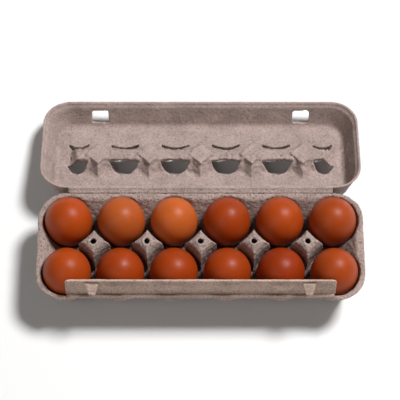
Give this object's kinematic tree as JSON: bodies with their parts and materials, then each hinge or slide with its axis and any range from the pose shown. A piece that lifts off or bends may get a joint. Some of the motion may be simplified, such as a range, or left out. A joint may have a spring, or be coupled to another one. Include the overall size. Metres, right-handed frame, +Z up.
{
  "type": "egg carton",
  "caption": "Moulded-pulp egg carton with brown eggs, its lid folded open behind the tray and a locking flap standing along the front.",
  "frame": {"origin": "middle of the open carton's footprint, on the table", "axes": "+X along the carton, +Y from the tray to the lid folded open behind it, +Z up"},
  "size_m": [0.296, 0.209, 0.0702],
  "materials": {
    "tray_pulp": "matte",
    "lid_pulp": "matte",
    "flap_pulp": "matte",
    "fold_pulp": "matte",
    "eggshell": "satin"
  },
  "bodies": {
    "tray": {"tray": "tray_pulp", "lid_hinge_crease": "fold_pulp", "flap_hinge_crease": "fold_pulp"},
    "lid": {"lid": "lid_pulp"},
    "flap": {"locking_flap": "flap_pulp"},
    "egg_back_1": {"egg_back_1": "eggshell"},
    "egg_back_2": {"egg_back_2": "eggshell"},
    "egg_back_3": {"egg_back_3": "eggshell"},
    "egg_back_4": {"egg_back_4": "eggshell"},
    "egg_back_5": {"egg_back_5": "eggshell"},
    "egg_back_6": {"egg_back_6": "eggshell"},
    "egg_front_1": {"egg_front_1": "eggshell"},
    "egg_front_2": {"egg_front_2": "eggshell"},
    "egg_front_3": {"egg_front_3": "eggshell"},
    "egg_front_4": {"egg_front_4": "eggshell"},
    "egg_front_5": {"egg_front_5": "eggshell"},
    "egg_front_6": {"egg_front_6": "eggshell"}
  },
  "joints": [
    {"name": "lid_fold", "type": "hinge", "parent": "tray", "child": "lid", "pos_m": [0, 0.00152, 0.04815], "axis": [-1, 0, 0], "range_deg": [-193.57, 12]},
    {"name": "flap_fold", "type": "hinge", "parent": "tray", "child": "flap", "pos_m": [0, -0.10128, 0.04815], "axis": [1, 0, 0], "range_deg": [-3, 110]},
    {"name": "egg_back_1_lift", "type": "slide", "parent": "tray", "child": "egg_back_1", "axis": [0, 0.1908, 0.9816], "range_m": [0, 0.062]},
    {"name": "egg_back_2_lift", "type": "slide", "parent": "tray", "child": "egg_back_2", "axis": [0, 0.1908, 0.9816], "range_m": [0, 0.062]},
    {"name": "egg_back_3_lift", "type": "slide", "parent": "tray", "child": "egg_back_3", "axis": [0, 0.1908, 0.9816], "range_m": [0, 0.062]},
    {"name": "egg_back_4_lift", "type": "slide", "parent": "tray", "child": "egg_back_4", "axis": [0, 0.1908, 0.9816], "range_m": [0, 0.062]},
    {"name": "egg_back_5_lift", "type": "slide", "parent": "tray", "child": "egg_back_5", "axis": [0, 0.1908, 0.9816], "range_m": [0, 0.062]},
    {"name": "egg_back_6_lift", "type": "slide", "parent": "tray", "child": "egg_back_6", "axis": [0, 0.1908, 0.9816], "range_m": [0, 0.062]},
    {"name": "egg_front_1_lift", "type": "slide", "parent": "tray", "child": "egg_front_1", "axis": [0, 0.2588, 0.9659], "range_m": [0, 0.062]},
    {"name": "egg_front_2_lift", "type": "slide", "parent": "tray", "child": "egg_front_2", "axis": [0, 0.2588, 0.9659], "range_m": [0, 0.062]},
    {"name": "egg_front_3_lift", "type": "slide", "parent": "tray", "child": "egg_front_3", "axis": [0, 0.2588, 0.9659], "range_m": [0, 0.062]},
    {"name": "egg_front_4_lift", "type": "slide", "parent": "tray", "child": "egg_front_4", "axis": [0, 0.2588, 0.9659], "range_m": [0, 0.062]},
    {"name": "egg_front_5_lift", "type": "slide", "parent": "tray", "child": "egg_front_5", "axis": [0, 0.2588, 0.9659], "range_m": [0, 0.062]},
    {"name": "egg_front_6_lift", "type": "slide", "parent": "tray", "child": "egg_front_6", "axis": [0, 0.2588, 0.9659], "range_m": [0, 0.062]}
  ]
}
